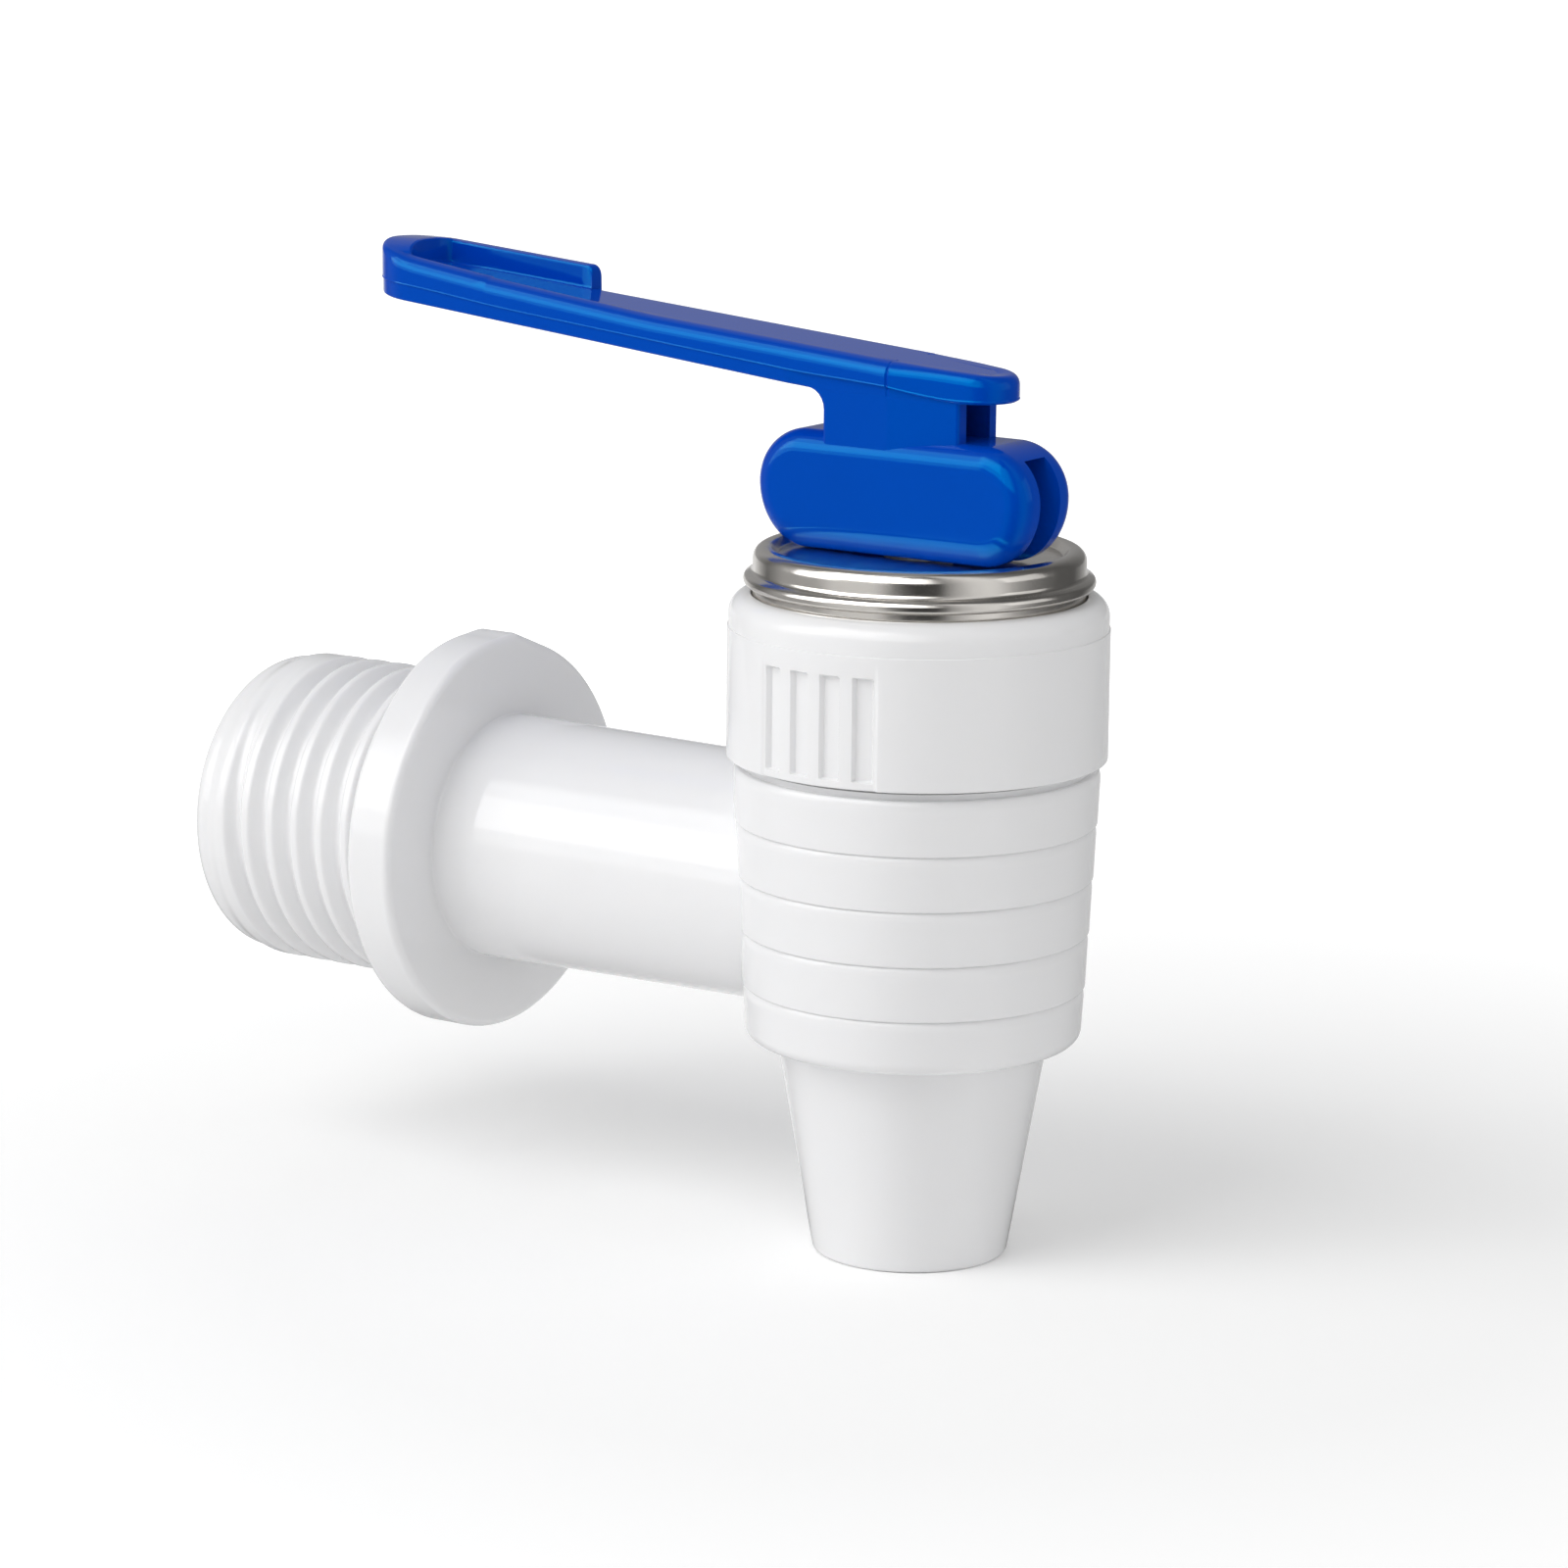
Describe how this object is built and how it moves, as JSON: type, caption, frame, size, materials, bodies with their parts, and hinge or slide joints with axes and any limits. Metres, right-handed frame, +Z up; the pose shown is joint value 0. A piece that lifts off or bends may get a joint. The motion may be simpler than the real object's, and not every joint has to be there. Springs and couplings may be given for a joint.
{
  "type": "water dispenser spigot",
  "caption": "Push-lever water dispenser spigot: white moulded tap with threaded shank, flange, tapered nozzle, plated cap and blue swivelling lever.",
  "frame": {"origin": "centre of the flange's back face, on the shank's axis", "axes": "+X out of the tank wall along the shank towards the barrel, +Z up, the nozzle points down"},
  "size_m": [0.0612, 0.025, 0.06],
  "materials": {
    "white_plastic": "glossy white injection moulding",
    "blue_plastic": "satin-gloss blue injection moulding",
    "plated_steel": "bright nickel plate on a drawn cup",
    "steel": "stainless steel",
    "inner_plastic": "natural white moulding",
    "seal_rubber": "translucent silicone"
  },
  "bodies": {
    "tap": {"tap_body": "white_plastic", "bonnet": "white_plastic", "cap_plate": "plated_steel", "seal_cup": "seal_rubber"},
    "turning_seat": {"thrust_washer": "steel", "return_spring": "steel"},
    "stem": {"valve_stem": "inner_plastic", "hinge_pin": "steel"},
    "lever": {"lever": "blue_plastic"}
  },
  "joints": [
    {"name": "lever_swivel", "type": "hinge", "parent": "tap", "child": "turning_seat", "pos_m": [0.03445, 0, 0.02], "axis": [0, 0, 1], "continuous": true},
    {"name": "stem_lift", "type": "slide", "parent": "turning_seat", "child": "stem", "axis": [0, 0, 1], "range_m": [0, 0.0025], "deforming": ["return_spring", "seal_cup"]},
    {"name": "lever_tilt", "type": "hinge", "parent": "stem", "child": "lever", "pos_m": [0.03445, 0, 0.0254], "axis": [0, -1, 0], "range_deg": [0, 20], "stiffness_Nm_per_rad": 0.1, "springref_deg": -40.11}
  ],
  "couplings": [
    {"joint": "stem_lift", "follows": "lever_tilt", "m_per_rad": 0.0069}
  ]
}
